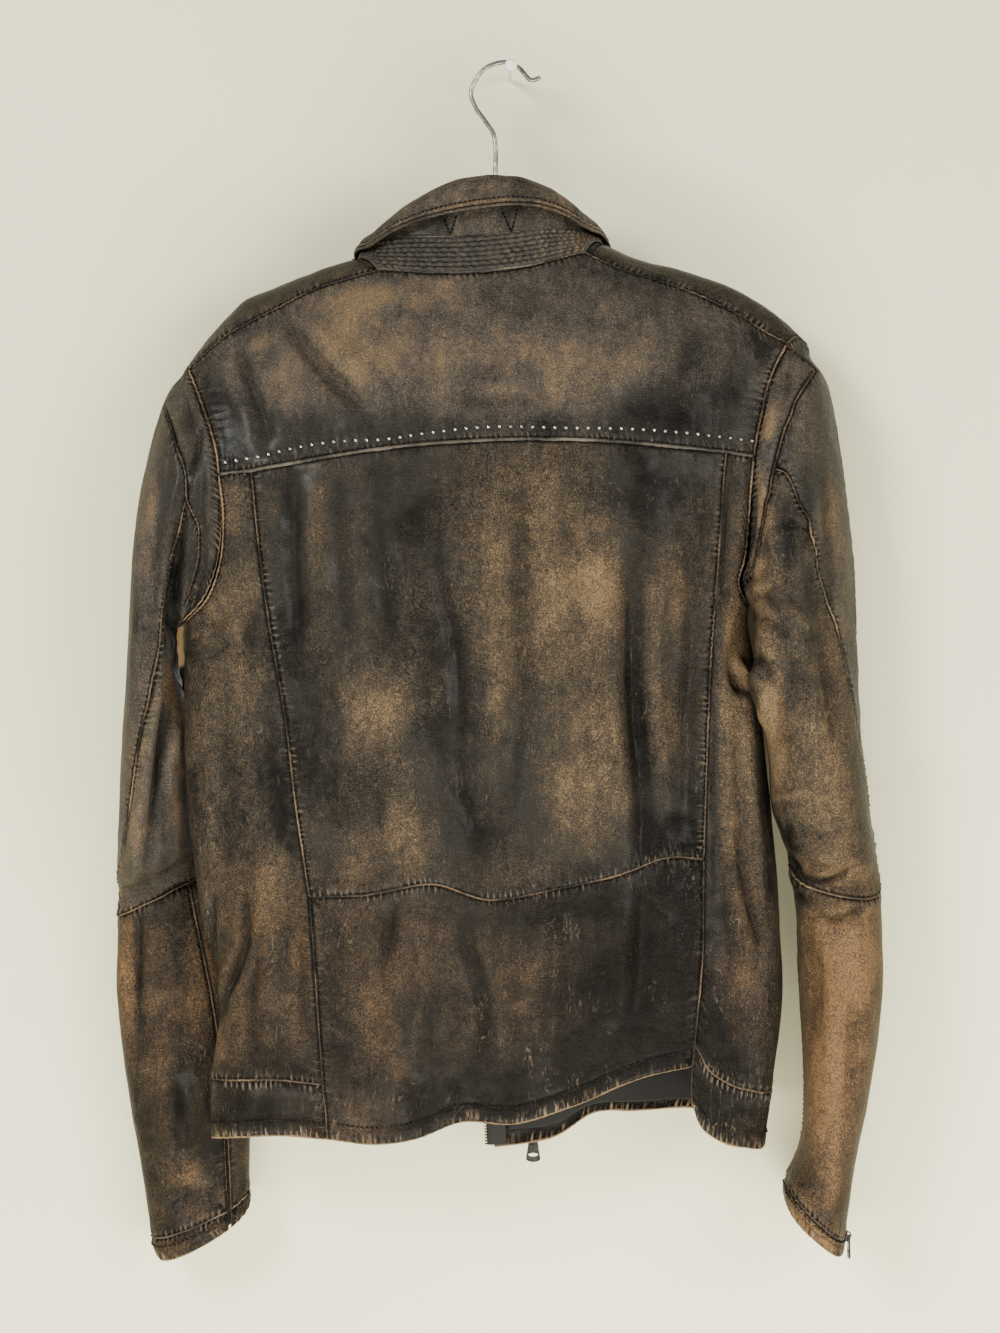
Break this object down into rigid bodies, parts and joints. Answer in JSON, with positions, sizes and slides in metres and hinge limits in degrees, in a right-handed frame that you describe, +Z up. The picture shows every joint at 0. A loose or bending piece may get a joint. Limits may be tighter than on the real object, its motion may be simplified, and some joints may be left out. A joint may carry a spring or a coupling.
{
  "type": "worn leather coat on a wire-hook hanger",
  "caption": "Worn short leather coat with a band collar, panelled back, studded yoke seam, zip front and zip cuffs, hanging flat on a wooden hanger with a wire hook.",
  "frame": {"origin": "under the crown of the hanger's hook, where it rests on its pin", "axes": "+Z up; -Y towards the viewer, the coat's back; +Y towards the wall; +X to the wearer's right"},
  "size_m": [0.5748, 0.118, 0.9031],
  "materials": {
    "charcoal_leather": "worn, grained, dull",
    "tan_leather": "worn, rubbed to tan",
    "quilted_leather": "quilted, worn",
    "lining_satin": "satin",
    "zip_tape": "matt",
    "zip_metal": "semi-gloss",
    "hook_steel": "worn satin",
    "hanger_wood": "satin"
  },
  "bodies": {
    "coat": {"back_yoke": "charcoal_leather", "back_centre": "charcoal_leather", "back_lower": "charcoal_leather", "back_side_left": "charcoal_leather", "back_side_right": "charcoal_leather", "front_left": "charcoal_leather", "front_right": "charcoal_leather", "sleeve_gusset_left": "charcoal_leather", "sleeve_top_left": "charcoal_leather", "sleeve_under_left": "charcoal_leather", "sleeve_gusset_right": "charcoal_leather", "sleeve_top_right": "charcoal_leather", "sleeve_under_right": "charcoal_leather", "collar_leaf": "charcoal_leather", "hem_band_left": "tan_leather", "hem_band_right": "tan_leather", "forearm_outer_left": "tan_leather", "forearm_inner_left": "tan_leather", "cuff_left": "tan_leather", "forearm_outer_right": "tan_leather", "forearm_inner_right": "tan_leather", "cuff_right": "tan_leather", "collar_band": "quilted_leather", "lining_right": "lining_satin", "zip_tape_left": "zip_tape", "zip_tape_right": "zip_tape", "cuff_tape_left": "zip_tape", "cuff_tape_right": "zip_tape", "zip_slider": "zip_metal", "cuff_slider_left": "zip_metal", "cuff_slider_right": "zip_metal", "hanger_hook": "hook_steel", "hanger_bar": "hanger_wood"},
    "zip_pull": {"zip_pull": "zip_metal"},
    "cuff_pull_left": {"cuff_pull_left": "zip_metal"},
    "cuff_pull_right": {"cuff_pull_right": "zip_metal"}
  },
  "joints": [
    {"name": "zip_pull_swing", "type": "hinge", "parent": "coat", "child": "zip_pull", "pos_m": [0.017, 0.03767, -0.802], "axis": [1, 0, 0], "range_deg": [-5, 110]},
    {"name": "cuff_pull_left_swing", "type": "hinge", "parent": "coat", "child": "cuff_pull_left", "pos_m": [-0.21358, 0.0014, -0.78415], "axis": [-0.9497, -0.3132, 0], "range_deg": [-5, 20]},
    {"name": "cuff_pull_right_swing", "type": "hinge", "parent": "coat", "child": "cuff_pull_right", "pos_m": [0.25491, 0.01442, -0.88008], "axis": [0.1242, -0.9923, 0], "range_deg": [-5, 110]}
  ]
}
